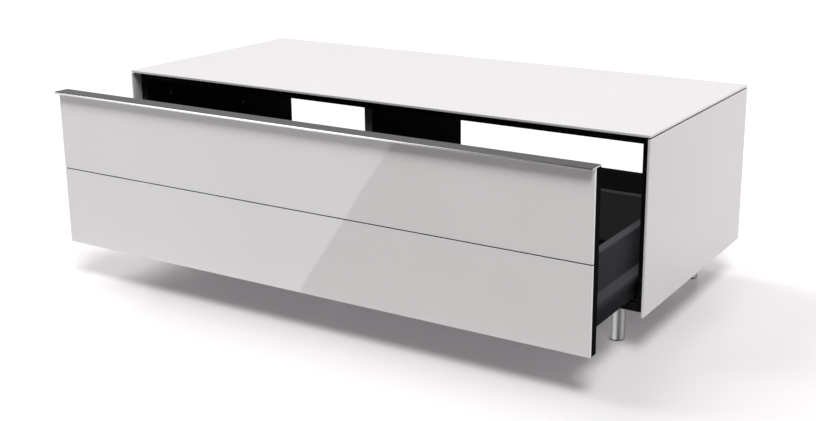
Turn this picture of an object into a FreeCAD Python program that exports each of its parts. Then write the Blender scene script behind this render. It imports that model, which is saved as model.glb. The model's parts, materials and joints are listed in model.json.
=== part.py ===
import FreeCAD, Part
import math
import os

# A low TV stand: black boards clad with white glass, on four round legs, with one wide drawer front that
# carries two boxes, one each side of a centre divider.
# Millimetres. X runs across, Y from front to back and Z up from the floor. The drawer is stored standing open.

# Body
overall_width = 1100.0      # over both side glasses
overall_depth = 478.0       # front edge to back edge of the glass
body_height = 302.0         # lower edge of the side glass to the top face
leg_height = 72.0           # floor to the underside of the bottom board
glass = 4.0                 # every glass panel
arris = 0.6                 # ground edge of the glass
glass_joint = 1.8           # dark joint between the top glass and a side glass
board = 16.0                # every carcass board
divider_setback = 7.0       # divider behind the front edges of the boards
divider_depth = 314.0       # shorter than the boards, so that cables pass behind it
back_panel_height = 87.0    # above the bottom board, and open from there up

# Drawer front
drawer_opening = 190.0      # how far the drawer stands open as stored
front_board = 16.0          # board behind the front glass
front_side_gap = 2.0        # front to side glass
front_foot_gap = 1.0        # front above the lower edge of the side glass
front_top_gap = 3.5         # handle below the top glass
front_split = 1.5           # gap between the two front panes
front_rear_gap = 2.0        # shut front to the front edges of the boards

# Handle profile
handle_reach = 10.0         # nose in front of the front glass
handle_flange = 2.5
lip_height = 5.5            # from the top of the flange
lip_thickness = 3.0
nose_radius = 2.2
lip_fillet = 1.0
web_thickness = 2.0         # tongue that sits in a groove in the front board
web_depth = 14.0
web_setback = 40.0          # tongue cut back from each end of the profile
groove_clearance = 0.2

# Drawer boxes, with heights above the bottom board
box_length = 400.0
box_height = 119.0          # top of the box sides
shoulder_top = 53.0         # slope where the box side widens to cover its runner
shoulder_bottom = 41.5
skirt_bottom = 7.0
skirt_clearance = 7.0       # skirt to the board or divider beside it
skirt_width = 24.5
wall_width = 15.5           # double wall above the shoulder
side_sheet = 1.2
side_bend = 1.6             # inside radius of the bends
box_floor = 12.0            # underside of the box bottom
box_board = 16.0            # box bottom and box back
bottom_flange = 12.0        # ledge under the box bottom

# Runners
rail_shortfall = 10.0       # rails shorter than the box they carry
rail_setback = 1.0          # behind the front edge of the divider
rail_sheet = 1.5
rail_clearance = 0.4        # between rails that slide on each other
rail_wall_height = 34.0     # flange screwed to the board or divider
cabinet_neck = 12.0
middle_neck = 6.0
rail_head = 8.0
rail_hook = 12.0            # upturned flange that carries the box side

# Front brackets
bracket_sheet = 2.0
bracket_reach = 45.0
bracket_height = 46.0
bracket_clearance = 0.3

# Legs
leg_diameter = 28.0
leg_wall = 1.5
leg_side_inset = 71.0       # leg axis from the outside of the side glass
leg_end_inset = 63.0        # leg axis from the front and back edges of the glass
plate_diameter = 56.0
plate_thickness = 3.0
plate_screw_circle = 42.0
plate_screws = 3
spigot_length = 8.0
spigot_clearance = 0.1
glide_diameter = 26.0
glide_foot = 2.5

# Fittings
screw_shank = 4.0
screw_head = 7.0
screw_head_height = 2.2
screw_skin = 4.0            # board left in front of a screw's point
hole_clearance = 0.15
rail_screw_height = 20.0
rail_screw_inset = 20.0     # first and last rail screws from the ends of the divider
rail_screw_stagger = 20.0   # so that screws from both faces of the divider miss each other
box_screw_inset = 40.0
back_screw_inset = 16.0
handle_screw_inset = 90.0
handle_screw_count = 5
bracket_screw_inset = 11.0
cam_diameter = 15.0
cam_skin = 3.5              # board left above a cam housing
cam_reach = 34.0            # cam axis from the end of its board
cam_inset = 110.0           # cam fittings from the front and back edges of the boards
cam_slot = 1.6
bolt_diameter = 6.0
bolt_head = 7.0
bolt_neck = 4.4
bolt_head_length = 3.0
bolt_neck_length = 5.0
dowel_diameter = 8.0
dowel_bite = 20.0           # dowel in the end of a board
dowel_skin = 5.5            # board left beyond a dowel in its face
dowel_inset = 60.0          # from the front and back edges of the boards
divider_dowel_inset = 100.0
panel_dowel_inset = 18.0
dowel_end_gap = 0.5
bumper_diameter = 8.0
bumper_inset = 40.0
bumper_play = 0.2
# Two small fixings on the inside of each side board, from the front and lower edges of the glass
side_screw_places = ((85.0, 245.0), (306.0, 185.0))

# Places worked out from those sizes
Vector = FreeCAD.Vector
across = Vector(1, 0, 0)
backwards = Vector(0, 1, 0)
upwards = Vector(0, 0, 1)
half_width = overall_width / 2
glass_front = (drawer_opening + handle_reach - overall_depth) / 2
glass_back = glass_front + overall_depth
front_thickness = glass + front_board
board_front = glass_front + front_thickness + front_rear_gap
body_bottom = leg_height
top_face = leg_height + body_height
board_top = top_face - glass
ceiling = board_top - board
floor_top = body_bottom + board
board_half = half_width - glass
inner_half = board_half - board
divider_front = board_front + divider_setback
divider_back = divider_front + divider_depth
panel_front = glass_back - board
panel_top = floor_top + back_panel_height

front_half = board_half - front_side_gap
front_bottom = body_bottom + front_foot_gap
front_top = board_top - front_top_gap - handle_flange
front_face = glass_front - drawer_opening
front_back = front_face + front_thickness
box_back = front_back + box_length
rail_front = divider_front + rail_setback
rail_length = box_length - rail_shortfall

skirt_inner = skirt_clearance + skirt_width
hollow_outer = skirt_inner - wall_width + side_sheet
hollow_inner = skirt_inner - side_sheet
rail_centre = skirt_clearance + skirt_width / 2
box_bottom_top = box_floor + box_board

dowel_face_bite = board - dowel_skin
screw_length = board - screw_skin

# Each runner: the face it hangs on, the way in from that face along X, and its screws' stagger
runners = {
    "left_outer": (-inner_half, 1, 0.0),
    "left_inner": (-board / 2, -1, rail_screw_stagger),
    "right_inner": (board / 2, 1, 0.0),
    "right_outer": (inner_half, -1, rail_screw_stagger),
}
boxes = {
    "left": ("left_outer", "left_inner"),
    "right": ("right_inner", "right_outer"),
}


def block(x_span, y_span, z_span):
    corner = Vector(x_span[0], y_span[0], z_span[0])
    return Part.makeBox(x_span[1] - x_span[0], y_span[1] - y_span[0], z_span[1] - z_span[0], corner)


def turned(profile, point, direction):
    # Solid turned from (radius, distance along the axis) pairs
    points = [Vector(radius, 0, along) for radius, along in profile]
    face = Part.Face(Part.makePolygon(points + points[:1]))
    solid = face.revolve(Vector(0, 0, 0), upwards, 360)
    solid.Placement = FreeCAD.Placement(point, FreeCAD.Rotation(upwards, direction))
    return solid


def drill(shape, point, direction, diameter, depth):
    return shape.cut(Part.makeCylinder(diameter / 2, depth, point, direction))


def outline(corners, place):
    # Face through (a, b, radius) corners, with place turning (a, b) into a point of the model
    points = [Vector(a, b, 0) for a, b, radius in corners]
    turns = []
    for index, (a, b, radius) in enumerate(corners):
        corner = points[index]
        behind = (points[index - 1] - corner).normalize()
        ahead = (points[(index + 1) % len(points)] - corner).normalize()
        if radius == 0:
            turns.append((corner, None, corner))
            continue
        half_angle = behind.getAngle(ahead) / 2
        reach = radius / math.tan(half_angle)
        middle = corner + (behind + ahead).normalize() * (radius / math.sin(half_angle) - radius)
        turns.append((corner + behind * reach, middle, corner + ahead * reach))
    edges = []
    last = turns[-1][2]
    for start, middle, end in turns:
        if last.distanceToPoint(start) > 1e-6:
            edges.append(Part.LineSegment(place(last.x, last.y), place(start.x, start.y)).toShape())
        if middle is not None:
            spots = [place(point.x, point.y) for point in (start, middle, end)]
            edges.append(Part.Arc(*spots).toShape())
        last = end
    return Part.Face(Part.Wire(edges))


def bent_sheet(path, thickness, bend, place):
    # Face of a bent sheet whose middle line runs through the (a, b) points of the path
    points = [Vector(a, b, 0) for a, b in path]
    left_side = []
    right_side = []
    for index, point in enumerate(points):
        first = points[max(index - 1, 0)]
        last = points[min(index + 1, len(points) - 1)]
        before = (point - first if index > 0 else last - point).normalize()
        after = (last - point if index < len(points) - 1 else point - first).normalize()
        normals = [Vector(-run.y, run.x, 0) for run in (before, after)]
        mitre = (normals[0] + normals[1]) * (thickness / 2 / (1 + normals[0].dot(normals[1])))
        turn = before.x * after.y - before.y * after.x
        left_bend = 0 if abs(turn) < 1e-9 else bend + (thickness if turn < 0 else 0)
        right_bend = 0 if abs(turn) < 1e-9 else bend + (thickness if turn > 0 else 0)
        left_side.append((point.x + mitre.x, point.y + mitre.y, left_bend))
        right_side.append((point.x - mitre.x, point.y - mitre.y, right_bend))
    return outline(left_side + right_side[::-1], place)


def runner_place(runner, start):
    # Section plane of a runner: distance in from its face, and height above the bottom board
    face, inward, stagger = runners[runner]
    return lambda inset, height: Vector(face + inward * inset, start, floor_top + height)


def screw(seat, direction, length):
    # Pan-head screw whose head stands on the seat and whose shank runs along the direction
    head = screw_head / 2
    shank = screw_shank / 2
    profile = [
        (0, -screw_head_height),
        (head * 0.6, -screw_head_height),
        (head, -screw_head_height * 0.4),
        (head, 0),
        (shank, 0),
        (shank, length - shank),
        (0, length),
    ]
    return turned(profile, seat, direction)


def screw_hole(shape, seat, direction, length):
    return drill(shape, seat, direction, screw_shank + 2 * hole_clearance, length + hole_clearance)


def flush_screw(seat, direction, length):
    # Countersunk screw whose head is level with the seat
    head = screw_head / 2
    shank = screw_shank / 2
    profile = [(0, 0), (head, 0), (shank, head - shank), (shank, length - shank), (0, length)]
    return turned(profile, seat, direction)


def flush_hole(shape, seat, direction, length):
    mouth = screw_head / 2 + hole_clearance
    cone = Part.makeCone(mouth, 0, mouth, seat, direction)
    return screw_hole(shape.cut(cone), seat, direction, length)


def glass_panel(x_span, y_span, z_span):
    panel = block(x_span, y_span, z_span)
    return panel.makeChamfer(arris, panel.Edges)


def cam_places():
    # Axis of each cam fitting: end of the board, way out of that end, place along Y and mid-height of the board
    places = []
    for side in (-1, 1):
        for along in (board_front + cam_inset, glass_back - cam_inset):
            for height in (body_bottom + board / 2, ceiling + board / 2):
                places.append((Vector(side * inner_half, along, height), across * side))
    return places


def dowel_places():
    # Meeting face of each dowel joint, and the way into the board that the dowel enters by its face
    places = []
    panel_middle = (panel_front + glass_back) / 2
    for side in (-1, 1):
        for along in (board_front + dowel_inset, glass_back - dowel_inset):
            for height in (body_bottom + board / 2, ceiling + board / 2):
                places.append((Vector(side * inner_half, along, height), across * side))
        for height in (floor_top + panel_dowel_inset, panel_top - panel_dowel_inset):
            places.append((Vector(side * inner_half, panel_middle, height), across * side))
    for along in (divider_front + divider_dowel_inset, divider_back - divider_dowel_inset):
        places.append((Vector(0, along, floor_top), -upwards))
        places.append((Vector(0, along, ceiling), upwards))
    return places


def rail_screw_places(runner):
    # Seat of each screw on the cabinet rail's flange, and the way it goes in
    face, inward, stagger = runners[runner]
    first = divider_front + rail_screw_inset
    last = divider_back - rail_screw_inset - rail_screw_stagger
    seat = face + inward * rail_sheet
    height = floor_top + rail_screw_height
    return [
        (Vector(seat, along + stagger, height), across * -inward)
        for along in (first, (first + last) / 2, last)
    ]


def side_screw_seats(side):
    return [
        (Vector(side * inner_half, glass_front + along, body_bottom + height), across * side)
        for along, height in side_screw_places
    ]


def leg_places():
    side = half_width - leg_side_inset
    return {
        "front_left": Vector(-side, glass_front + leg_end_inset, 0),
        "front_right": Vector(side, glass_front + leg_end_inset, 0),
        "rear_left": Vector(-side, glass_back - leg_end_inset, 0),
        "rear_right": Vector(side, glass_back - leg_end_inset, 0),
    }


def plate_screw_seats(leg):
    seats = []
    for index in range(plate_screws):
        angle = math.radians(90 + 360 * index / plate_screws)
        offset = Vector(math.cos(angle), math.sin(angle), 0) * (plate_screw_circle / 2)
        seats.append(leg + offset + upwards * (leg_height - plate_thickness))
    return seats


def top_glass():
    return glass_panel((-half_width, half_width), (glass_front, glass_back), (board_top, top_face))


def side_glass(side):
    x_span = sorted((side * board_half, side * half_width))
    return glass_panel(x_span, (glass_front, glass_back), (body_bottom, board_top - glass_joint))


def lying_board(bottom):
    # Top or bottom board: cams from below, bolts and dowels in its ends, the divider's dowels in its face
    shape = block((-inner_half, inner_half), (board_front, glass_back), (bottom, bottom + board))
    for point, direction in cam_places():
        if abs(point.z - bottom) < board:
            cam_axis = Vector(point.x, point.y, bottom) - direction * cam_reach
            shape = drill(shape, cam_axis, upwards, cam_diameter + 2 * hole_clearance, board - cam_skin)
            shape = drill(shape, point, -direction, bolt_head + 2 * hole_clearance, cam_reach)
    diameter = dowel_diameter + 2 * hole_clearance
    for point, direction in dowel_places():
        if direction.x and abs(point.z - bottom) < board:
            shape = drill(shape, point, -direction, diameter, dowel_bite + dowel_end_gap)
        elif direction.z:
            shape = drill(shape, point, direction, diameter, dowel_face_bite + dowel_end_gap)
    return shape


def bottom_board():
    shape = lying_board(body_bottom)
    for leg in leg_places().values():
        for seat in plate_screw_seats(leg):
            shape = screw_hole(shape, seat, upwards, screw_length + plate_thickness)
    return shape


def side_board(side):
    x_span = sorted((side * inner_half, side * board_half))
    shape = block(x_span, (board_front, glass_back), (body_bottom, board_top))
    for point, direction in cam_places():
        shape = drill(shape, point, direction, bolt_diameter + 2 * hole_clearance, board - dowel_skin + dowel_end_gap)
    diameter = dowel_diameter + 2 * hole_clearance
    for point, direction in dowel_places():
        if direction.x:
            shape = drill(shape, point, direction, diameter, dowel_face_bite + dowel_end_gap)
    for runner in runners:
        for seat, direction in rail_screw_places(runner):
            shape = screw_hole(shape, seat, direction, screw_length + rail_sheet)
    for seat, direction in side_screw_seats(side):
        shape = screw_hole(shape, seat, direction, screw_length)
    return shape


def centre_divider():
    shape = block((-board / 2, board / 2), (divider_front, divider_back), (floor_top, ceiling))
    diameter = dowel_diameter + 2 * hole_clearance
    for point, direction in dowel_places():
        if direction.z:
            shape = drill(shape, point, -direction, diameter, dowel_bite + dowel_end_gap)
    for runner in ("left_inner", "right_inner"):
        for seat, direction in rail_screw_places(runner):
            shape = screw_hole(shape, seat, direction, screw_length + rail_sheet)
    return shape


def back_panel():
    shape = block((-inner_half, inner_half), (panel_front, glass_back), (floor_top, panel_top))
    diameter = dowel_diameter + 2 * hole_clearance
    for point, direction in dowel_places():
        if direction.x and point.y > panel_front:
            shape = drill(shape, point, -direction, diameter, dowel_bite + dowel_end_gap)
    return shape


def cam_housings():
    # Round housings let in from below, with a drive slot and an opening for the bolt's head
    solids = []
    radius = cam_diameter / 2
    depth = board - cam_skin - dowel_end_gap
    for point, direction in cam_places():
        foot = Vector(point.x, point.y, point.z - board / 2) - direction * cam_reach
        cam = Part.makeCylinder(radius, depth, foot, upwards)
        slot = block((-radius, radius), (-cam_slot / 2, cam_slot / 2), (0, cam_slot))
        slot.translate(foot)
        cam = cam.cut(slot)
        cam = drill(cam, point, -direction, bolt_head + 2 * hole_clearance, cam_reach + bolt_head_length / 2)
        solids.append(cam)
    return solids


def cam_bolts():
    # Bolts screwed into the side boards, each with a necked head inside its cam
    tip = cam_reach
    neck_end = tip - bolt_head_length
    neck_start = neck_end - bolt_neck_length
    profile = [
        (0, -(board - dowel_skin)),
        (bolt_diameter / 2, -(board - dowel_skin)),
        (bolt_diameter / 2, neck_start),
        (bolt_neck / 2, neck_start),
        (bolt_neck / 2, neck_end),
        (bolt_head / 2, neck_end),
        (bolt_head / 2, tip),
        (0, tip),
    ]
    return [turned(profile, point, -direction) for point, direction in cam_places()]


def dowels():
    radius = dowel_diameter / 2
    tapered = radius - 1.0
    profile = [
        (0, -dowel_bite),
        (tapered, -dowel_bite),
        (radius, -dowel_bite + 1.0),
        (radius, dowel_face_bite - 1.0),
        (tapered, dowel_face_bite),
        (0, dowel_face_bite),
    ]
    return [turned(profile, point, direction) for point, direction in dowel_places()]


def leg_tube(foot):
    outer = leg_diameter / 2
    inner = outer - leg_wall
    top = leg_height - plate_thickness
    return turned([(inner, glide_foot), (outer, glide_foot), (outer, top), (inner, top)], foot, upwards)


def leg_plates():
    # Round plates with a spigot in the tube below
    solids = []
    spigot = leg_diameter / 2 - leg_wall - spigot_clearance
    under = leg_height - plate_thickness
    profile = [
        (0, under - spigot_length),
        (spigot, under - spigot_length),
        (spigot, under),
        (plate_diameter / 2, under),
        (plate_diameter / 2, leg_height),
        (0, leg_height),
    ]
    for leg in leg_places().values():
        plate = turned(profile, leg, upwards)
        for seat in plate_screw_seats(leg):
            plate = screw_hole(plate, seat, upwards, plate_thickness)
        solids.append(plate)
    return solids


def leg_screws():
    seats = [seat for leg in leg_places().values() for seat in plate_screw_seats(leg)]
    return [screw(seat, upwards, screw_length + plate_thickness) for seat in seats]


def leg_glides():
    spigot = leg_diameter / 2 - leg_wall - spigot_clearance
    edge = glide_diameter / 2
    profile = [
        (0, 0),
        (edge - 0.8, 0),
        (edge, 0.8),
        (edge, glide_foot),
        (spigot, glide_foot),
        (spigot, glide_foot + spigot_length),
        (0, glide_foot + spigot_length),
    ]
    return [turned(profile, leg, upwards) for leg in leg_places().values()]


def bumpers():
    # Soft buffers on the front edges of the side boards
    solids = []
    thickness = front_rear_gap - bumper_play
    for side in (-1, 1):
        for height in (floor_top + bumper_inset, ceiling - bumper_inset):
            seat = Vector(side * (inner_half + board / 2), board_front, height)
            radius = bumper_diameter / 2
            profile = [(0, 0), (radius, 0), (radius, thickness / 2), (radius * 0.7, thickness), (0, thickness)]
            solids.append(turned(profile, seat, -backwards))
    return solids


def side_screws():
    seats = side_screw_seats(-1) + side_screw_seats(1)
    return [screw(seat, direction, screw_length - 1.0) for seat, direction in seats]


def rail_screws():
    seats = [place for runner in runners for place in rail_screw_places(runner)]
    return [screw(seat, direction, screw_length + rail_sheet - 1.0) for seat, direction in seats]


# Heights of the rail sections, each worked out from the one below it
cabinet_head = rail_sheet + cabinet_neck
cabinet_head_top = cabinet_head + rail_sheet
middle_plate = cabinet_head_top + rail_clearance
middle_head = middle_plate + rail_sheet + middle_neck
middle_head_top = middle_head + rail_sheet
drawer_plate = middle_head_top + rail_clearance


def rail_tee(foot, head, place):
    # Upright neck with a head across its top
    neck = rail_sheet / 2
    wing = rail_head / 2
    top = head + rail_sheet
    corner = rail_sheet / 3
    return outline(
        [
            (rail_centre - neck, foot, 0),
            (rail_centre + neck, foot, 0),
            (rail_centre + neck, head, 0),
            (rail_centre + wing, head, corner),
            (rail_centre + wing, top, corner),
            (rail_centre - wing, top, corner),
            (rail_centre - wing, head, corner),
            (rail_centre - neck, head, 0),
        ],
        place,
    )


def rail_hood(head, place):
    # Channel that wraps a head from above, with lips turned in below it
    inner = rail_head / 2 + rail_clearance
    outer = inner + rail_sheet
    slot = rail_sheet / 2 + rail_clearance
    ceiling_height = head + rail_sheet + rail_clearance
    lip_top = head - rail_clearance
    lip_bottom = lip_top - rail_sheet
    bend = rail_sheet
    return outline(
        [
            (rail_centre - slot, lip_bottom, 0),
            (rail_centre - slot, lip_top, 0),
            (rail_centre - inner, lip_top, 0),
            (rail_centre - inner, ceiling_height, 0),
            (rail_centre + inner, ceiling_height, 0),
            (rail_centre + inner, lip_top, 0),
            (rail_centre + slot, lip_top, 0),
            (rail_centre + slot, lip_bottom, 0),
            (rail_centre + outer, lip_bottom, bend),
            (rail_centre + outer, ceiling_height + rail_sheet, bend),
            (rail_centre - outer, ceiling_height + rail_sheet, bend),
            (rail_centre - outer, lip_bottom, bend),
        ],
        place,
    )


def drawn_rail(faces):
    solids = [face.extrude(backwards * rail_length) for face in faces]
    return solids[0].fuse(solids[1:]).removeSplitter()


def cabinet_rail(runner):
    # Flange on the board, foot on the bottom board and a headed neck for the middle rail
    place = runner_place(runner, rail_front)
    middle = rail_sheet / 2
    angle = bent_sheet(
        [(middle, rail_wall_height), (middle, middle), (rail_centre, middle), (rail_centre, cabinet_head)],
        rail_sheet,
        rail_sheet,
        place,
    )
    rail = drawn_rail([angle, rail_tee(cabinet_head - rail_sheet, cabinet_head, place)])
    for seat, direction in rail_screw_places(runner):
        rail = screw_hole(rail, seat, direction, rail_sheet)
    return rail


def middle_rail(runner):
    place = runner_place(runner, rail_front - drawer_opening / 2)
    hood = rail_hood(cabinet_head, place)
    tee = rail_tee(middle_plate + rail_sheet / 2, middle_head, place)
    return drawn_rail([hood, tee])


def drawer_rail(runner):
    # Hood on the middle rail, with an arm that turns up against the inner wall of the box side
    place = runner_place(runner, rail_front - drawer_opening)
    middle = drawer_plate + rail_sheet / 2
    hook = hollow_inner - rail_sheet / 2
    arm = bent_sheet(
        [(rail_centre, middle), (hook, middle), (hook, drawer_plate + rail_sheet + rail_hook)],
        rail_sheet,
        rail_sheet,
        place,
    )
    return drawn_rail([rail_hood(middle_head, place), arm])


def box_side(runner):
    # One rolled sheet: ledge for the bottom, inner wall, flat top, outer wall, shoulder and skirt
    middle = side_sheet / 2
    inner = skirt_inner - middle
    outer = skirt_inner - wall_width + middle
    skirt = skirt_clearance + middle
    path = [
        (inner + bottom_flange, box_floor - middle),
        (inner, box_floor - middle),
        (inner, box_height - middle),
        (outer, box_height - middle),
        (outer, shoulder_top),
        (skirt, shoulder_bottom),
        (skirt, skirt_bottom),
    ]
    place = runner_place(runner, front_back)
    side = bent_sheet(path, side_sheet, side_bend, place).extrude(backwards * box_length)
    for seat, direction in back_screw_seats(runner):
        side = screw_hole(side, seat, direction, side_sheet)
    for seat in box_screw_seats(runner):
        side = screw_hole(side, seat, upwards, side_sheet)
    return side


def back_screw_seats(runner):
    # Inside the hollow of a box side, through its inner wall into the end of the box back
    face, inward, stagger = runners[runner]
    heights = (box_bottom_top + back_screw_inset, box_height - back_screw_inset)
    along = box_back - box_board / 2
    seat = face + inward * hollow_inner
    return [(Vector(seat, along, floor_top + height), across * inward) for height in heights]


def box_screw_seats(runner):
    # Under the ledge of a box side
    face, inward, stagger = runners[runner]
    seat = face + inward * (skirt_inner + bottom_flange / 2)
    height = floor_top + box_floor - side_sheet
    spots = (front_back + box_screw_inset, front_back + box_length / 2, box_back - box_screw_inset)
    return [Vector(seat, along, height) for along in spots]


def box_span(box):
    faces = [runners[runner][0] + runners[runner][1] * skirt_inner for runner in boxes[box]]
    return sorted(faces)


def box_bottom(box):
    # The lower long edges are eased to clear the bends of the ledges
    heights = (floor_top + box_floor, floor_top + box_bottom_top)
    shape = block(box_span(box), (front_back, box_back), heights)
    eased = [edge for edge in shape.Edges if edge.BoundBox.YLength > 1 and edge.BoundBox.ZMax < heights[1]]
    shape = shape.makeChamfer(side_bend, eased)
    for runner in boxes[box]:
        for seat in box_screw_seats(runner):
            shape = screw_hole(shape, seat, upwards, screw_length)
    return shape


def box_back_board(box):
    heights = (floor_top + box_bottom_top, floor_top + box_height)
    shape = block(box_span(box), (box_back - box_board, box_back), heights)
    for runner in boxes[box]:
        for seat, direction in back_screw_seats(runner):
            shape = screw_hole(shape, seat, direction, 2 * screw_length)
    return shape


def box_screws():
    seats = [seat for runner in runners for seat in box_screw_seats(runner)]
    return [screw(seat, upwards, screw_length) for seat in seats]


def back_screws():
    seats = [place for runner in runners for place in back_screw_seats(runner)]
    return [screw(seat, direction, 2 * screw_length) for seat, direction in seats]


def bracket_heights():
    middle = (shoulder_top + box_height) / 2
    return middle - bracket_height / 2, middle + bracket_height / 2


def bracket_screw_seats(runner):
    face, inward, stagger = runners[runner]
    low, high = bracket_heights()
    inset = (hollow_outer + hollow_inner - bracket_sheet) / 2
    along = front_back + bracket_sheet
    heights = (low + bracket_screw_inset, high - bracket_screw_inset)
    return [Vector(face + inward * inset, along, floor_top + height) for height in heights]


def front_brackets():
    # Angles inside the double walls, screwed to the front board
    solids = []
    low, high = bracket_heights()
    for runner, (face, inward, stagger) in runners.items():
        path = [
            (hollow_outer + bracket_clearance, front_back + bracket_sheet / 2),
            (hollow_inner - bracket_sheet / 2, front_back + bracket_sheet / 2),
            (hollow_inner - bracket_sheet / 2, front_back + bracket_reach),
        ]
        section = bent_sheet(
            path,
            bracket_sheet,
            bracket_sheet / 2,
            lambda inset, along: Vector(face + inward * inset, along, floor_top + low),
        )
        bracket = section.extrude(upwards * (high - low))
        for seat in bracket_screw_seats(runner):
            bracket = screw_hole(bracket, seat, -backwards, bracket_sheet)
        solids.append(bracket)
    return solids


def bracket_screws():
    seats = [seat for runner in runners for seat in bracket_screw_seats(runner)]
    return [screw(seat, -backwards, front_board - screw_skin) for seat in seats]


def front_pane(upper):
    height = (front_top - front_bottom - front_split) / 2
    bottom = front_top - height if upper else front_bottom
    return glass_panel((-front_half, front_half), (front_face, front_face + glass), (bottom, bottom + height))


def web_middle():
    return front_face + glass + front_board / 2


def handle_screw_seats():
    span = 2 * (front_half - handle_screw_inset)
    step = span / (handle_screw_count - 1)
    height = front_top - web_depth / 2
    return [Vector(-span / 2 + index * step, front_back, height) for index in range(handle_screw_count)]


def drawer_front_board():
    shape = block((-front_half, front_half), (front_face + glass, front_back), (front_bottom, front_top))
    groove_half = front_half - web_setback + groove_clearance
    groove_side = web_thickness / 2 + groove_clearance
    groove = block(
        (-groove_half, groove_half),
        (web_middle() - groove_side, web_middle() + groove_side),
        (front_top - web_depth - groove_clearance, front_top),
    )
    shape = shape.cut(groove)
    for seat in handle_screw_seats():
        shape = flush_hole(shape, seat, -backwards, front_board - screw_skin)
    for runner in runners:
        for seat in bracket_screw_seats(runner):
            shape = screw_hole(shape, seat, -backwards, front_board - screw_skin)
    return shape


def handle_profile():
    # Flange over the front, a rounded lip that turns down before the glass, and a tongue in the groove
    top = front_top + handle_flange
    nose = front_face - handle_reach
    lip_back = nose + lip_thickness
    lip_bottom = top - lip_height
    lip_round = lip_thickness * 0.49
    corners = [
        (front_back, front_top, 0),
        (front_back, top, handle_flange / 4),
        (nose, top, nose_radius),
        (nose, lip_bottom, lip_round),
        (lip_back, lip_bottom, lip_round),
        (lip_back, front_top, lip_fillet),
    ]
    section = outline(corners, lambda along, height: Vector(-front_half, along, height))
    profile = section.extrude(across * (2 * front_half))
    web_half = front_half - web_setback
    web = block(
        (-web_half, web_half),
        (web_middle() - web_thickness / 2, web_middle() + web_thickness / 2),
        (front_top - web_depth, front_top),
    )
    profile = profile.fuse(web).removeSplitter()
    for seat in handle_screw_seats():
        profile = screw_hole(profile, seat, -backwards, front_board)
    return profile


def handle_screws():
    return [flush_screw(seat, -backwards, front_board - screw_skin) for seat in handle_screw_seats()]


def save(name, solids):
    shape = solids if isinstance(solids, Part.Shape) else Part.makeCompound(solids)
    shape.exportStep(f"parts/{name}.step")


os.makedirs("parts", exist_ok=True)

save("top_glass", top_glass())
save("left_side_glass", side_glass(-1))
save("right_side_glass", side_glass(1))
save("top_board", lying_board(ceiling))
save("bottom_board", bottom_board())
save("left_side_board", side_board(-1))
save("right_side_board", side_board(1))
save("centre_divider", centre_divider())
save("back_panel", back_panel())
save("cam_housings", cam_housings())
save("cam_bolts", cam_bolts())
save("dowels", dowels())
save("bumpers", bumpers())
save("side_screws", side_screws())
save("rail_screws", rail_screws())
for leg_name, leg_foot in leg_places().items():
    save(f"leg_{leg_name}", leg_tube(leg_foot))
save("leg_plates", leg_plates())
save("leg_screws", leg_screws())
save("leg_glides", leg_glides())
for runner_name in runners:
    save(f"cabinet_rail_{runner_name}", cabinet_rail(runner_name))
    save(f"middle_rail_{runner_name}", middle_rail(runner_name))
    save(f"drawer_rail_{runner_name}", drawer_rail(runner_name))
    save(f"box_side_{runner_name}", box_side(runner_name))
for box_name in boxes:
    save(f"box_bottom_{box_name}", box_bottom(box_name))
    save(f"box_back_{box_name}", box_back_board(box_name))
save("box_screws", box_screws())
save("back_screws", back_screws())
save("front_brackets", front_brackets())
save("bracket_screws", bracket_screws())
save("front_board", drawer_front_board())
save("front_glass_upper", front_pane(True))
save("front_glass_lower", front_pane(False))
save("handle_profile", handle_profile())
save("handle_screws", handle_screws())
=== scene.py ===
import json
import math

import bmesh
import bpy
from mathutils import Matrix, Vector


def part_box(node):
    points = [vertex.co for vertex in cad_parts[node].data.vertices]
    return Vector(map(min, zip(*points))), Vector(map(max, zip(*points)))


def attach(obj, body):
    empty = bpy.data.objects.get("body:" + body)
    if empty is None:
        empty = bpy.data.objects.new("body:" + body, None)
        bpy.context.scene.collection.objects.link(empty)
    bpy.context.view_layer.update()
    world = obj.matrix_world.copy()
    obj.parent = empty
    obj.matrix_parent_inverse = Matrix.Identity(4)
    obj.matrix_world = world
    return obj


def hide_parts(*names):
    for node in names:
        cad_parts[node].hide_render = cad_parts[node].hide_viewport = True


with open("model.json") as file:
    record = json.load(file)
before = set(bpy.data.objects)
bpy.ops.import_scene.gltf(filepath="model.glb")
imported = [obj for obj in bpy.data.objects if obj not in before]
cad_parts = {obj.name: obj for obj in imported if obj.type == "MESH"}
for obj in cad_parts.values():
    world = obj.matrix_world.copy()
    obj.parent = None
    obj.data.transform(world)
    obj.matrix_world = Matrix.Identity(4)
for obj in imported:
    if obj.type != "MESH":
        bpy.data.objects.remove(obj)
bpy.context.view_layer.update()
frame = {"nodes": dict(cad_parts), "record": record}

nodes = frame["nodes"]
print("frame loaded:", len(nodes), "nodes")


# small helpers for materials

def newFinish(name):
    mat = bpy.data.materials.new(name)
    mat.use_nodes = True
    tree = mat.node_tree
    shader = tree.nodes["Principled BSDF"]
    coords = tree.nodes.new("ShaderNodeTexCoord")
    return mat, tree, shader, coords.outputs["Object"]


def stretched(tree, coords, scale):
    mapping = tree.nodes.new("ShaderNodeMapping")
    mapping.inputs["Scale"].default_value = scale
    tree.links.new(coords, mapping.inputs["Vector"])
    return mapping.outputs["Vector"]


def noise(tree, coords, scale, detail, roughness=0.5):
    tex = tree.nodes.new("ShaderNodeTexNoise")
    tex.inputs["Scale"].default_value = scale
    tex.inputs["Detail"].default_value = detail
    tex.inputs["Roughness"].default_value = roughness
    tree.links.new(coords, tex.inputs["Vector"])
    return tex.outputs["Fac"]


def tone(value):
    # a colour as it is, or a single value as a grey
    return (*value, 1) if isinstance(value, tuple) else (value, value, value, 1)


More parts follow.
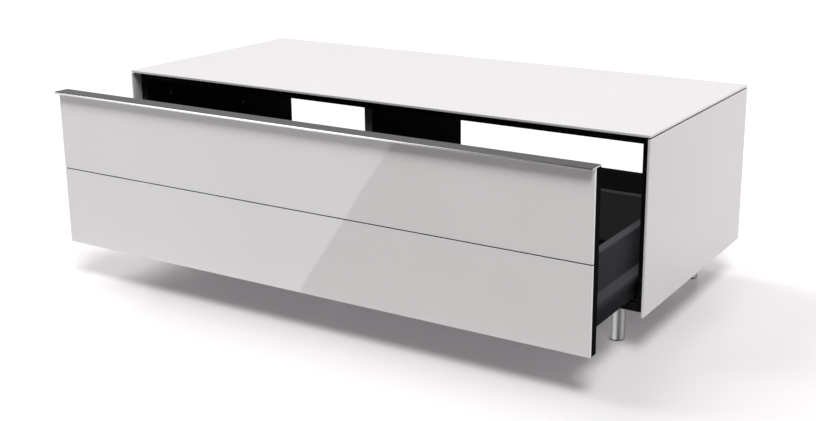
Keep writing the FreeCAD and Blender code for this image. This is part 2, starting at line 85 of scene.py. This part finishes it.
def ramp(tree, fac, low, high, start=0.3, end=0.7):
    # colour or grey ramp between two ends of a pattern
    node = tree.nodes.new("ShaderNodeValToRGB")
    first, last = node.color_ramp.elements
    first.position, last.position = start, end
    first.color, last.color = tone(low), tone(high)
    tree.links.new(fac, node.inputs["Fac"])
    return node.outputs["Color"]


def paint(tree, socket, fac, low, high, start=0.3, end=0.7):
    tree.links.new(ramp(tree, fac, low, high, start, end), socket)


def bump(tree, shader, height, depth, strength):
    node = tree.nodes.new("ShaderNodeBump")
    node.inputs["Distance"].default_value = depth
    node.inputs["Strength"].default_value = strength
    tree.links.new(height, node.inputs["Height"])
    tree.links.new(node.outputs["Normal"], shader.inputs["Normal"])


# finishes: a pattern is (scale, detail) or (scale, detail, roughness)
# rough is the range of roughness, relief is (depth, strength)

glassFinish = {
    "light": (0.793, 0.777, 0.77), "deep": (0.775, 0.758, 0.751), "rough": (0.02, 0.05), "index": 1.52,
    "cloud": (5, 2), "grain": (60, 4), "wave": (9, 1), "relief": (0.0000005, 0.25),
}

def lacquerGlass():
    look = glassFinish
    mat, tree, shader, coords = newFinish("lacquerGlass")
    paint(tree, shader.inputs["Base Color"], noise(tree, coords, *look["cloud"]), look["deep"], look["light"])
    paint(tree, shader.inputs["Roughness"], noise(tree, coords, *look["grain"]), *look["rough"])
    shader.inputs["IOR"].default_value = look["index"]
    bump(tree, shader, noise(tree, coords, *look["wave"]), *look["relief"])
    return mat


edgeFinish = {
    "light": (0.91, 0.91, 0.905), "deep": (0.815, 0.817, 0.815), "rough": (0.28, 0.4), "index": 1.52,
    "marks": (2600, 2), "relief": (0.00004, 0.3),
}

def groundEdge():
    look = edgeFinish
    mat, tree, shader, coords = newFinish("groundEdge")
    marks = noise(tree, coords, *look["marks"])
    paint(tree, shader.inputs["Base Color"], marks, look["deep"], look["light"])
    paint(tree, shader.inputs["Roughness"], marks, *look["rough"])
    shader.inputs["IOR"].default_value = look["index"]
    bump(tree, shader, marks, *look["relief"])
    return mat


# facing: the range of the normal's Y over which faces take the painted front light
foilGrain = {"cloud": (14, 3), "grain": (1800, 2, 0.6), "relief": (0.00005, 0.35), "facing": (-0.8, -0.95)}
blackFoil = {
    "light": (0.004, 0.0039, 0.0041), "deep": (0.0029, 0.0028, 0.003), "rough": (0.55, 0.68), "gloss": 0.006,
}
darkFoil = {
    "light": (0.09, 0.088, 0.09), "deep": (0.078, 0.0762, 0.078), "rough": (0.48, 0.6), "gloss": 0.1,
}

def foilBoard(name, light, deep, rough, gloss, paintedFrontLight):
    # pressed foil: a fine even grain with a slow change of gloss; faces that look to the front are painted paler,
    # painted light for the light that reaches them
    mat, tree, shader, coords = newFinish(name)
    cloud = noise(tree, coords, *foilGrain["cloud"])
    grain = noise(tree, coords, *foilGrain["grain"])
    geometry = tree.nodes.new("ShaderNodeNewGeometry")
    split = tree.nodes.new("ShaderNodeSeparateXYZ")
    tree.links.new(geometry.outputs["True Normal"], split.inputs["Vector"])
    facing = tree.nodes.new("ShaderNodeMapRange")
    facing.inputs["From Min"].default_value, facing.inputs["From Max"].default_value = foilGrain["facing"]
    tree.links.new(split.outputs["Y"], facing.inputs["Value"])
    # painted light: faces whose normal looks to the front are mixed toward the paler paintedFrontLight colour
    blend = tree.nodes.new("ShaderNodeMix")
    blend.data_type = "RGBA"
    tree.links.new(facing.outputs["Result"], blend.inputs["Factor"])
    tree.links.new(ramp(tree, cloud, deep, light), blend.inputs["A"])
    blend.inputs["B"].default_value = tone(paintedFrontLight)
    tree.links.new(blend.outputs["Result"], shader.inputs["Base Color"])
    paint(tree, shader.inputs["Roughness"], cloud, *rough)
    shader.inputs["Specular IOR Level"].default_value = gloss
    bump(tree, shader, grain, *foilGrain["relief"])
    return mat


powderFinish = {
    "light": (0.0325, 0.0317, 0.035), "deep": (0.026, 0.0253, 0.0279), "rough": (0.34, 0.46), "gloss": 0,
    "peel": (700, 2), "speck": (2400, 1), "relief": (0.00006, 0.4),
}

def powderCoat():
    # satin powder coat with its orange-peel surface
    look = powderFinish
    mat, tree, shader, coords = newFinish("powderCoat")
    peel = noise(tree, coords, *look["peel"])
    speck = noise(tree, coords, *look["speck"])
    paint(tree, shader.inputs["Base Color"], speck, look["deep"], look["light"])
    paint(tree, shader.inputs["Roughness"], peel, *look["rough"])
    shader.inputs["Specular IOR Level"].default_value = look["gloss"]
    bump(tree, shader, peel, *look["relief"])
    return mat


lineGrain = (1, 4, 0.6)  # lines and fibres, on stretched coordinates

def drawnMetal(name, light, deep, rough, scale, relief, rim):
    # metal with brush or draw lines, long along the axis with the small scale
    mat, tree, shader, coords = newFinish(name)
    lines = noise(tree, stretched(tree, coords, scale), *lineGrain)
    paint(tree, shader.inputs["Base Color"], lines, deep, light)
    paint(tree, shader.inputs["Roughness"], lines, *rough)
    shader.inputs["Metallic"].default_value = 1
    shader.inputs["Specular Tint"].default_value = tone(rim)  # sheen at a low angle
    bump(tree, shader, lines, *relief)
    return mat


sawnFinish = {
    "light": (0.8, 0.798, 0.8), "deep": (0.68, 0.678, 0.68), "rough": (0.42, 0.55), "metal": 0.2,
    "scale": (300, 900, 5200), "lines": (1, 3, 0.6),
}

def sawnMetal():
    # aluminium as the saw leaves it, pale and matt with fine lines across
    look = sawnFinish
    mat, tree, shader, coords = newFinish("sawnAluminium")
    lines = noise(tree, stretched(tree, coords, look["scale"]), *look["lines"])
    paint(tree, shader.inputs["Base Color"], lines, look["deep"], look["light"])
    paint(tree, shader.inputs["Roughness"], lines, *look["rough"])
    shader.inputs["Metallic"].default_value = look["metal"]
    return mat


roundFinish = {
    "light": (0.50, 0.494, 0.496), "deep": (0.42, 0.416, 0.42), "rough": (0.5, 0.58),
    "scale": (500, 500, 4200), "streak": 0.95, "streakTurn": 0.25,
}

def brushedRound():
    # steel brushed round the tube, so that sheen runs along it in streaks
    look = roundFinish
    mat, tree, shader, coords = newFinish("brushedSteel")
    lines = noise(tree, stretched(tree, coords, look["scale"]), *lineGrain)
    paint(tree, shader.inputs["Base Color"], lines, look["deep"], look["light"])
    paint(tree, shader.inputs["Roughness"], lines, *look["rough"])
    shader.inputs["Metallic"].default_value = 1
    shader.inputs["Anisotropic"].default_value = look["streak"]
    shader.inputs["Anisotropic Rotation"].default_value = look["streakTurn"]
    around = tree.nodes.new("ShaderNodeTangent")
    around.direction_type = "RADIAL"
    around.axis = "Z"
    tree.links.new(around.outputs["Tangent"], shader.inputs["Tangent"])
    return mat


zincGrain = {"rough": (0.3, 0.46), "pits": (900, 2), "relief": (0.00002, 0.3)}

def zincPlate(name, light, deep, cell):
    # bright zinc with soft crystal patches
    mat, tree, shader, coords = newFinish(name)
    cells = tree.nodes.new("ShaderNodeTexVoronoi")
    cells.inputs["Scale"].default_value = cell
    tree.links.new(coords, cells.inputs["Vector"])
    split = tree.nodes.new("ShaderNodeSeparateColor")
    tree.links.new(cells.outputs["Color"], split.inputs["Color"])
    paint(tree, shader.inputs["Base Color"], split.outputs["Red"], deep, light, 0, 1)
    paint(tree, shader.inputs["Roughness"], split.outputs["Green"], *zincGrain["rough"], 0, 1)
    shader.inputs["Metallic"].default_value = 1
    bump(tree, shader, noise(tree, coords, *zincGrain["pits"]), *zincGrain["relief"])
    return mat


plasticRelief = (0.00004, 0.4)

def mouldedPlastic(name, light, deep, rough, grain):
    mat, tree, shader, coords = newFinish(name)
    pits = noise(tree, coords, *grain)
    paint(tree, shader.inputs["Base Color"], pits, deep, light)
    paint(tree, shader.inputs["Roughness"], pits, *rough)
    bump(tree, shader, pits, *plasticRelief)
    return mat


beechFinish = {
    "light": (0.72, 0.54, 0.34), "deep": (0.50, 0.33, 0.18), "rough": (0.5, 0.7),
    "scale": (60, 900, 900), "relief": (0.0001, 0.4),
}

def beechRod():
    look = beechFinish
    mat, tree, shader, coords = newFinish("beechRod")
    fibre = noise(tree, stretched(tree, coords, look["scale"]), *lineGrain)
    paint(tree, shader.inputs["Base Color"], fibre, look["deep"], look["light"])
    paint(tree, shader.inputs["Roughness"], fibre, *look["rough"])
    bump(tree, shader, fibre, *look["relief"])
    return mat


finishes = {
    "glass": lacquerGlass(),
    "edge": groundEdge(),
    # paintedFrontLight is painted light: a paler colour on faces that look to the front, on the boards, divider,
    # back panel and box backs
    "board": foilBoard("blackFoil", paintedFrontLight=(0.013, 0.0127, 0.013), **blackFoil),
    "paintedFrontBoard": foilBoard("paintedFrontFoil", paintedFrontLight=(0.15, 0.145, 0.147), **blackFoil),
    "backBoard": foilBoard("backFoil", paintedFrontLight=(0.05, 0.046, 0.048), **blackFoil),
    "boxBoard": foilBoard("darkFoil", paintedFrontLight=(0.13, 0.125, 0.128), **darkFoil),
    "boxSteel": powderCoat(),
    "aluminium": drawnMetal("satinAluminium", light=(0.29, 0.286, 0.29), deep=(0.26, 0.256, 0.26),
                            rough=(0.19, 0.24), scale=(6, 2200, 2200), relief=(0.000002, 0.25), rim=0.45),
    "sawnEnd": sawnMetal(),
    "legSteel": brushedRound(),
    "rail": zincPlate("zincRail", light=(0.66, 0.67, 0.68), deep=(0.52, 0.53, 0.54), cell=90),
    "bracket": zincPlate("zincBracket", light=(0.62, 0.63, 0.64), deep=(0.5, 0.51, 0.52), cell=120),
    "plate": zincPlate("zincPlate", light=(0.58, 0.59, 0.6), deep=(0.46, 0.47, 0.48), cell=110),
    "screw": zincPlate("zincScrew", light=(0.74, 0.74, 0.75), deep=(0.6, 0.6, 0.61), cell=600),
    "cam": zincPlate("castZinc", light=(0.54, 0.55, 0.56), deep=(0.4, 0.41, 0.42), cell=400),
    "bolt": drawnMetal("turnedBolt", light=(0.62, 0.62, 0.63), deep=(0.5, 0.5, 0.51),
                       rough=(0.25, 0.4), scale=(3000, 300, 300), relief=(0.00003, 0.25), rim=1.0),
    "glide": mouldedPlastic("glidePlastic", light=(0.06, 0.06, 0.062), deep=(0.04, 0.04, 0.042),
                            rough=(0.45, 0.6), grain=(2200, 2)),
    "rubber": mouldedPlastic("softBuffer", light=(0.018, 0.018, 0.019), deep=(0.011, 0.011, 0.012),
                             rough=(0.5, 0.7), grain=(1500, 2)),
    "darkScrew": zincPlate("blackScrew", light=(0.035, 0.034, 0.035), deep=(0.024, 0.024, 0.025), cell=600),
    "dowel": beechRod(),
}
print("finishes:", len(finishes))

slotFinish = {
    "white_glass": "glass", "black_board": "board", "box_board": "boxBoard", "box_steel": "boxSteel",
    "rail_steel": "rail", "bracket_steel": "bracket", "handle_aluminium": "aluminium",
    "leg_steel": "legSteel", "plate_steel": "plate", "glide_plastic": "glide", "bumper_rubber": "rubber",
    "screw_steel": "screw", "cam_zinc": "cam", "bolt_steel": "bolt", "dowel_beech": "dowel",
}
nodeFinish = {  # pieces that differ from their slot
    "centre_divider": "paintedFrontBoard", "back_panel": "backBoard", "side_screws": "darkScrew",
}
nodeSlot = {part["node"]: part["material_slot"] for part in frame["record"]["subparts"]}
nodeBody = {node: body for body, held in frame["record"]["behaviour"]["bodies"].items() for node in held}
for name, obj in nodes.items():
    obj.data.materials.clear()
    obj.data.materials.append(finishes[nodeFinish.get(name, slotFinish[nodeSlot[name]])])


# new pieces that stand for CAD nodes

def addPiece(name, bm, node, mats, sharpAngle=28):
    mesh = bpy.data.meshes.new(name)
    bm.to_mesh(mesh)
    bm.free()
    for mat in mats:
        mesh.materials.append(mat)
    mesh.polygons.foreach_set("use_smooth", [True] * len(mesh.polygons))
    mesh.set_sharp_from_angle(angle=math.radians(sharpAngle))
    piece = bpy.data.objects.new(name, mesh)
    bpy.context.collection.objects.link(piece)
    weigh = piece.modifiers.new("flatNormals", "WEIGHTED_NORMAL")  # keeps the flats flat beside rounded edges
    weigh.keep_sharp = True
    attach(piece, nodeBody[node])
    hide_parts(node)
    return piece


def boxCorners(box):
    return [Vector(corner) for corner in box]


def addBlock(bm, low, high):
    low, high = Vector(low), Vector(high)
    place = Matrix.Translation((low + high) / 2) @ Matrix.Diagonal((*(high - low), 1))
    bmesh.ops.create_cube(bm, size=1, matrix=place)


def roundOff(bm, geom, offset, segments, affect="EDGES"):
    bmesh.ops.bevel(bm, geom=geom, offset=offset, segments=segments, profile=0.5, affect=affect, material=-1)


def shift(bm, geom, vec):
    verts = [item for item in geom if isinstance(item, bmesh.types.BMVert)]
    bmesh.ops.translate(bm, vec=vec, verts=verts)


panelShape = {
    "nodes": ("top_glass", "left_side_glass", "right_side_glass", "front_glass_upper", "front_glass_lower"),
    "arris": 0.0005, "arrisSteps": 2, "flat": 0.99, "level": 0.5,  # flat and level: how far a face looks that way
    "seam": {  # which edge of a panel is dark in the joint, 1 the upper and -1 the lower
        "front_glass_upper": -1, "front_glass_lower": 1, "left_side_glass": 1, "right_side_glass": 1,
    },
}

def glassPanel(node):
    shape = panelShape
    low, high = boxCorners(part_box(node))
    size = high - low
    thin = min(range(3), key=lambda axis: size[axis])
    bm = bmesh.new()
    addBlock(bm, low, high)
    roundOff(bm, bm.edges[:], shape["arris"], shape["arrisSteps"])
    bm.normal_update()
    for face in bm.faces:
        face.material_index = 0 if abs(face.normal[thin]) > shape["flat"] else 1  # lacquered faces, ground edges
        # the edge faces inside the joints take the black buffer finish: partly the joint's own dark line, partly
        # painted shade of the narrow gap
        if face.normal.z * shape["seam"].get(node, 0) > shape["level"]:
            face.material_index = 2
    addPiece(node + "Panel", bm, node, [finishes["glass"], finishes["edge"], finishes["rubber"]])

for node in panelShape["nodes"]:
    glassPanel(node)
print("glass panels:", len(panelShape["nodes"]))


handleShape = {
    "flange": 0.0025, "lipHeight": 0.0055, "lipThickness": 0.003, "noseRound": 0.0022, "lipRound": 0.00147,
    "backRound": 0.0006, "fillet": 0.001, "roundSteps": 7, "endBreak": 0.00025, "endSteps": 2, "endOn": 0.5,
    "tongue": (0.04, 0.002, 0.014),  # inset, thickness and depth
}

def handleBar():
    shape = handleShape
    low, high = boxCorners(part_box("handle_profile"))
    under = high.z - shape["flange"]
    lipBottom = high.z - shape["lipHeight"]
    lipBack = low.y + shape["lipThickness"]
    corners = [  # section seen from the side, with the round of each corner
        (high.y, under, 0), (high.y, high.z, shape["backRound"]), (low.y, high.z, shape["noseRound"]),
        (low.y, lipBottom, shape["lipRound"]), (lipBack, lipBottom, shape["lipRound"]),
        (lipBack, under, shape["fillet"]),
    ]
    bm = bmesh.new()
    verts = [bm.verts.new((low.x, along, height)) for along, height, size in corners]
    bm.faces.new(verts)
    for vert, (along, height, size) in zip(verts, corners):
        if size:
            roundOff(bm, [vert], size, shape["roundSteps"], "VERTICES")
    moved = bmesh.ops.extrude_face_region(bm, geom=bm.faces[:])["geom"]
    shift(bm, moved, (high.x - low.x, 0, 0))
    bmesh.ops.recalc_face_normals(bm, faces=bm.faces[:])
    ends = [e for e in bm.edges if len({round(f.normal.x) for f in e.link_faces}) == 2]
    roundOff(bm, ends, shape["endBreak"], shape["endSteps"])
    bm.normal_update()
    for face in bm.faces:
        face.material_index = 1 if abs(face.normal.x) > shape["endOn"] else 0  # the ends as sawn
    inset, thick, deep = shape["tongue"]
    boardLow, boardHigh = boxCorners(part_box("front_board"))
    middle = (boardLow.y + boardHigh.y) / 2
    addBlock(bm, (low.x + inset, middle - thick / 2, under - deep), (high.x - inset, middle + thick / 2, under))
    addPiece("handleBar", bm, "handle_profile", [finishes["aluminium"], finishes["sawnEnd"]])

handleBar()
print("handle bar made")


def turn(bm, profile, centre, steps):
    # profile of (radius, height) pairs turned about an upright axis
    verts = [bm.verts.new((centre[0] + radius, centre[1], height)) for radius, height in profile]
    edges = [bm.edges.new(pair) for pair in zip(verts, verts[1:])]
    bmesh.ops.spin(bm, geom=verts + edges, cent=(centre[0], centre[1], 0), axis=(0, 0, 1), angle=math.tau,
                   steps=steps, use_merge=True)


def weld(bm, gap=1e-6):
    bmesh.ops.remove_doubles(bm, verts=bm.verts[:], dist=gap)
    bmesh.ops.recalc_face_normals(bm, faces=bm.faces[:])


legShape = {
    "nodes": ("leg_front_left", "leg_front_right", "leg_rear_left", "leg_rear_right"),
    "wall": 0.0015, "endBreak": 0.0004, "steps": 72,
}
glideShape = {
    "radius": 0.013, "foot": 0.0025, "break": 0.0008, "easing": 0.3, "spigot": 0.0124, "spigotLength": 0.008,
    "steps": 48,
}

def legTubes():
    radius, foot, spigot = glideShape["radius"], glideShape["foot"], glideShape["spigot"]
    edge = glideShape["break"]
    eased = edge * glideShape["easing"]
    top = foot + glideShape["spigotLength"]
    corner = legShape["endBreak"]
    glides = bmesh.new()
    for node in legShape["nodes"]:
        low, high = boxCorners(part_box(node))
        centre = (low + high) / 2
        outer = (high.x - low.x) / 2
        inner = outer - legShape["wall"]
        bm = bmesh.new()
        turn(bm, [
            (inner, low.z + corner), (inner + corner, low.z), (outer - corner, low.z),
            (outer, low.z + corner), (outer, high.z - corner), (outer - corner, high.z),
            (inner + corner, high.z), (inner, high.z - corner), (inner, low.z + corner),
        ], centre, legShape["steps"])
        weld(bm)
        addPiece(node + "Tube", bm, node, [finishes["legSteel"]])
        turn(glides, [
            (0, 0), (radius - edge, 0), (radius - eased, eased), (radius, edge),
            (radius, foot), (spigot, foot), (spigot, top), (0, top),
        ], centre, glideShape["steps"])
    weld(glides)
    addPiece("footGlides", glides, "leg_glides", [finishes["glide"]])

legTubes()
print("legs and glides turned")


sideShape = {  # rolled box side, measured in from its outer face and up from its lowest edge
    "nodes": {  # 1 where the outer face is on the left, -1 on the right
        "box_side_left_outer": 1, "box_side_left_inner": -1, "box_side_right_inner": 1, "box_side_right_outer": -1,
    },
    "sheet": 0.0012, "wall": 0.0155, "skirt": 0.0245, "ledge": 0.012, "ledgeHeight": 0.005,
    "shoulderLow": 0.0345, "shoulderHigh": 0.046, "bend": 0.0022, "bendSteps": 5, "sharpAngle": 40,
}

def boxSide(node, way):
    shape = sideShape
    low, high = boxCorners(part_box(node))
    outside = low.x if way > 0 else high.x
    half = shape["sheet"] / 2
    inner = shape["skirt"] - half
    outer = shape["skirt"] - shape["wall"] + half
    top = high.z - low.z - half
    ledge = shape["ledgeHeight"] - half
    path = [
        (inner + shape["ledge"], ledge), (inner, ledge), (inner, top), (outer, top),
        (outer, shape["shoulderHigh"]), (half, shape["shoulderLow"]), (half, 0),
    ]
    bm = bmesh.new()
    verts = [bm.verts.new((outside + way * inset, low.y, low.z + height)) for inset, height in path]
    edges = [bm.edges.new(pair) for pair in zip(verts, verts[1:])]
    moved = bmesh.ops.extrude_edge_only(bm, edges=edges)["geom"]
    shift(bm, moved, (0, high.y - low.y, 0))
    bends = [e for e in bm.edges if len(e.link_faces) == 2]
    roundOff(bm, bends, shape["bend"], shape["bendSteps"])
    bmesh.ops.recalc_face_normals(bm, faces=bm.faces[:])
    piece = addPiece(node + "Sheet", bm, node, [finishes["boxSteel"]], shape["sharpAngle"])
    sheet = piece.modifiers.new("sheet", "SOLIDIFY")
    sheet.thickness = shape["sheet"]
    sheet.offset = 0
    sheet.use_even_offset = True

for node, way in sideShape["nodes"].items():
    boxSide(node, way)
print("box sides rolled:", len(sideShape["nodes"]))


# floor and cloth

def layFlat(name, low, high, height, mat):
    low, high = Vector(low), Vector(high)
    place = Matrix.Translation((*(low + high) / 2, height)) @ Matrix.Diagonal((*(high - low) / 2, 1, 1))
    bm = bmesh.new()
    bmesh.ops.create_grid(bm, x_segments=1, y_segments=1, size=1, matrix=place)
    mesh = bpy.data.meshes.new(name)
    bm.to_mesh(mesh)
    bm.free()
    mesh.materials.append(mat)
    flat = bpy.data.objects.new(name, mesh)
    bpy.context.collection.objects.link(flat)
    return flat


floorSet = {
    "low": (-30, -30), "high": (30, 30), "height": 0,
    "light": (0.846, 0.832, 0.835), "deep": (0.829, 0.815, 0.818), "cloud": (0.7, 2),
    "rough": 0.2, "gloss": 0.07, "glow": 0.18, "tint": (1, 0.95, 1),
}

def studioFloor():
    mat, tree, shader, coords = newFinish("paleFloor")
    cloud = noise(tree, coords, *floorSet["cloud"])
    paint(tree, shader.inputs["Base Color"], cloud, floorSet["deep"], floorSet["light"])
    shader.inputs["Roughness"].default_value = floorSet["rough"]
    shader.inputs["Specular IOR Level"].default_value = floorSet["gloss"]
    shader.inputs["Emission Color"].default_value = tone(floorSet["tint"])
    shader.inputs["Emission Strength"].default_value = floorSet["glow"]
    floor = layFlat("floor", floorSet["low"], floorSet["high"], floorSet["height"], mat)

studioFloor()


clothSet = {
    "low": (-4, -5), "high": (1.3, -0.38), "height": 0.002,
    "light": (0.323, 0.317, 0.319), "deep": (0.29, 0.284, 0.285), "weave": (30, 3), "rough": 0.9,
}

def darkCloth():
    # dark cloth on the floor before the drawer: it cuts the light thrown up on the front, and no view shows it
    mat, tree, shader, coords = newFinish("darkCloth")
    weave = noise(tree, coords, *clothSet["weave"])
    paint(tree, shader.inputs["Base Color"], weave, clothSet["deep"], clothSet["light"])
    shader.inputs["Roughness"].default_value = clothSet["rough"]
    side = tree.nodes.new("ShaderNodeNewGeometry")
    clear = tree.nodes.new("ShaderNodeBsdfTransparent")
    both = tree.nodes.new("ShaderNodeMixShader")  # clear from below, so the floor under it stays bright
    tree.links.new(side.outputs["Backfacing"], both.inputs[0])
    tree.links.new(shader.outputs["BSDF"], both.inputs[1])
    tree.links.new(clear.outputs["BSDF"], both.inputs[2])
    tree.links.new(both.outputs["Shader"], tree.nodes["Material Output"].inputs["Surface"])
    cloth = layFlat("cloth", clothSet["low"], clothSet["high"], clothSet["height"], mat)
    cloth.visible_camera = False
    cloth.visible_glossy = False
    cloth.visible_shadow = False

darkCloth()


# light

lightSet = {
    "sky": 0.098, "skyTint": (1, 0.965, 0.99), "glowFull": 0.9,
    "glows": (  # broad pale walls behind and to the right
        {"way": (-0.5, 0.85, 0.1), "edge": 0.2, "amount": 0.78},
        {"way": (1, 0.1, 0.75), "edge": 0.38, "amount": 0.1},
    ),
    "suns": (
        {"way": (0.3, -0.39, 0.87), "strength": 1.82, "spread": 22},
        {"way": (-0.7, 0.0, 0.7), "strength": 1.54, "spread": 40},
    ),
    "boxSun": {"way": (0.15, -0.2, 1), "strength": 5.4, "spread": 12},
    "frontSun": {"way": (0.3, -0.39, 0.87), "strength": 1.22, "spread": 22},
    "insideSun": {"way": (0.15, -0.83, 0.55), "strength": 0.36, "spread": 12},
}
frontPanes = ("front_glass_upperPanel", "front_glass_lowerPanel")

def softSun(name, way, strength, spread):
    lamp = bpy.data.lights.new(name, "SUN")
    lamp.energy = strength
    lamp.angle = math.radians(spread)
    sun = bpy.data.objects.new(name, lamp)
    sun.rotation_euler = Vector(way).to_track_quat("Z", "Y").to_euler()
    sun.visible_glossy = False  # the cards and pale walls alone make the sheen
    bpy.context.collection.objects.link(sun)
    return sun


def shineOn(lampObject, names, ownShade=False):
    # the lamp lights these pieces alone, and with ownShade nothing else cuts it off
    lit = bpy.data.collections.new(lampObject.name + "Lit")
    for name in names:
        lit.objects.link(bpy.data.objects[name])
    lampObject.light_linking.receiver_collection = lit
    if ownShade:
        lampObject.light_linking.blocker_collection = lit


def studioSky():
    world = bpy.data.worlds.new("studio")
    world.use_nodes = True
    tree = world.node_tree
    coords = tree.nodes.new("ShaderNodeTexCoord")
    back = tree.nodes["Background"]
    back.inputs["Color"].default_value = tone(lightSet["skyTint"])
    sky = tree.nodes.new("ShaderNodeValue")
    level = sky.outputs["Value"]
    level.default_value = lightSet["sky"]
    for glow in lightSet["glows"]:
        lean = tree.nodes.new("ShaderNodeVectorMath")
        lean.operation = "DOT_PRODUCT"
        lean.inputs[1].default_value = Vector(glow["way"]).normalized()
        tree.links.new(coords.outputs["Generated"], lean.inputs[0])
        shade = tree.nodes.new("ShaderNodeMapRange")
        shade.inputs["From Min"].default_value = glow["edge"]
        shade.inputs["From Max"].default_value = lightSet["glowFull"]
        shade.inputs["To Max"].default_value = glow["amount"]
        tree.links.new(lean.outputs["Value"], shade.inputs["Value"])
        total = tree.nodes.new("ShaderNodeMath")
        tree.links.new(level, total.inputs[0])
        tree.links.new(shade.outputs["Result"], total.inputs[1])
        level = total.outputs["Value"]
    tree.links.new(level, back.inputs["Strength"])
    bpy.context.scene.world = world


def studioSuns():
    for sun in lightSet["suns"]:
        softSun("overheadLight", **sun)
    over = softSun("boxLight", **lightSet["boxSun"])  # on the box sides, under the top board too
    shineOn(over, [node + "Sheet" for node in sideShape["nodes"]], ownShade=True)
    front = softSun("frontLight", **lightSet["frontSun"])
    shineOn(front, frontPanes)
    inside = softSun("insideLight", **lightSet["insideSun"])  # on the backs, past the top board and the front
    shineOn(inside, ("box_back_left", "box_back_right", "back_panel"), ownShade=True)

studioSky()
studioSuns()


cardSet = {
    "front": {"radiance": 1.74, "near": (-0.079, -0.40), "far": (-0.884, -2.12), "width": 1.6, "height": 0.004},
    "lip": {"radiance": 5.6, "size": (1.35, 2.6), "place": (-1.4, -1.79, 1.32),
            "right": (1, 0, 0), "aim": (0, 1, 0)},
    "legs": (
        {"radiance": 5.9, "size": (1.8, 1.6), "place": (0.08, -1.75, 0.7),
         "right": (1, 0, 0), "aim": (0, 1, 0)},
        {"radiance": 1.7, "size": (1.8, 1.6), "place": (2.04, 0.3, 0.7),
         "right": (-0.24, 1, 0), "aim": (-1, -0.24, 0)},
        {"radiance": 4.2, "size": (4.0, 1.6), "place": (-1.2, 0.3, 0.7),
         "right": (0.24, 1, 0), "aim": (1, -0.24, 0)},
    ),
}

def standAt(place, right, up, back):
    return Matrix.Translation(place) @ Matrix((right, up, back)).transposed().to_4x4()


def areaLamp(name, radiance, size, place, right, aim):
    # rectangular lamp of a given brightness, shining along aim
    lamp = bpy.data.lights.new(name, "AREA")
    lamp.shape = "RECTANGLE"
    lamp.size, lamp.size_y = size
    lamp.energy = radiance * math.pi * size[0] * size[1]
    right, aim = Vector(right).normalized(), Vector(aim).normalized()
    lampObject = bpy.data.objects.new(name, lamp)
    lampObject.matrix_world = standAt(place, right, right.cross(aim), -aim)
    lampObject.visible_camera = False
    bpy.context.collection.objects.link(lampObject)
    return lampObject


def reflectorCards():
    # cards seen only as sheen: one on the floor for the front panes, one upright for the lip, three for the legs
    card = cardSet["front"]
    near, far = Vector(card["near"]), Vector(card["far"])
    along = (far - near).normalized()
    aside = Vector((along.y, -along.x))
    middle = (near + far) / 2 + aside * card["width"] / 2
    front = areaLamp("frontCard", card["radiance"], ((far - near).length, card["width"]),
                     (*middle, card["height"]), (*along, 0), (0, 0, 1))
    lip = areaLamp("lipCard", **cardSet["lip"])
    shineOn(front, (*frontPanes, "handleBar"))
    shineOn(lip, ("handleBar",))
    lamps = [front, lip]
    for card in cardSet["legs"]:  # one streak each along the legs, not cut off by the drawer
        streak = areaLamp("legCard", **card)
        shineOn(streak, [node + "Tube" for node in legShape["nodes"]], ownShade=True)
        lamps.append(streak)
    for lampObject in lamps:
        lampObject.visible_diffuse = False
        lampObject.visible_transmission = False

reflectorCards()


# camera

cameraSet = {  # focal length and picture's middle in pixels of the photo, angles in degrees
    "place": (1.2359, -1.8825, 0.8159), "around": 30.59, "up": 15.03, "focal": 1230.0,
    "middle": (458.6, 170.1), "image": (816, 421), "sensor": 36, "clipEnd": 200,
}

def photoCamera():
    around = math.radians(cameraSet["around"])
    up = math.radians(cameraSet["up"])
    back = Vector((math.sin(around) * math.cos(up), -math.cos(around) * math.cos(up), math.sin(up)))
    right = Vector((0, 0, 1)).cross(back).normalized()
    wide, high = cameraSet["image"]
    lens = bpy.data.cameras.new("camera")
    lens.sensor_fit = "HORIZONTAL"
    lens.sensor_width = cameraSet["sensor"]
    lens.lens = cameraSet["focal"] / wide * cameraSet["sensor"]
    lens.shift_x = (wide / 2 - cameraSet["middle"][0]) / wide
    lens.shift_y = (cameraSet["middle"][1] - high / 2) / wide
    lens.clip_end = cameraSet["clipEnd"]
    camera = bpy.data.objects.new("camera", lens)
    camera.matrix_world = standAt(cameraSet["place"], right, back.cross(right), back)
    bpy.context.collection.objects.link(camera)
    bpy.context.scene.camera = camera

photoCamera()
bpy.context.scene.view_settings.view_transform = "Standard"
print("floor, light and camera set")
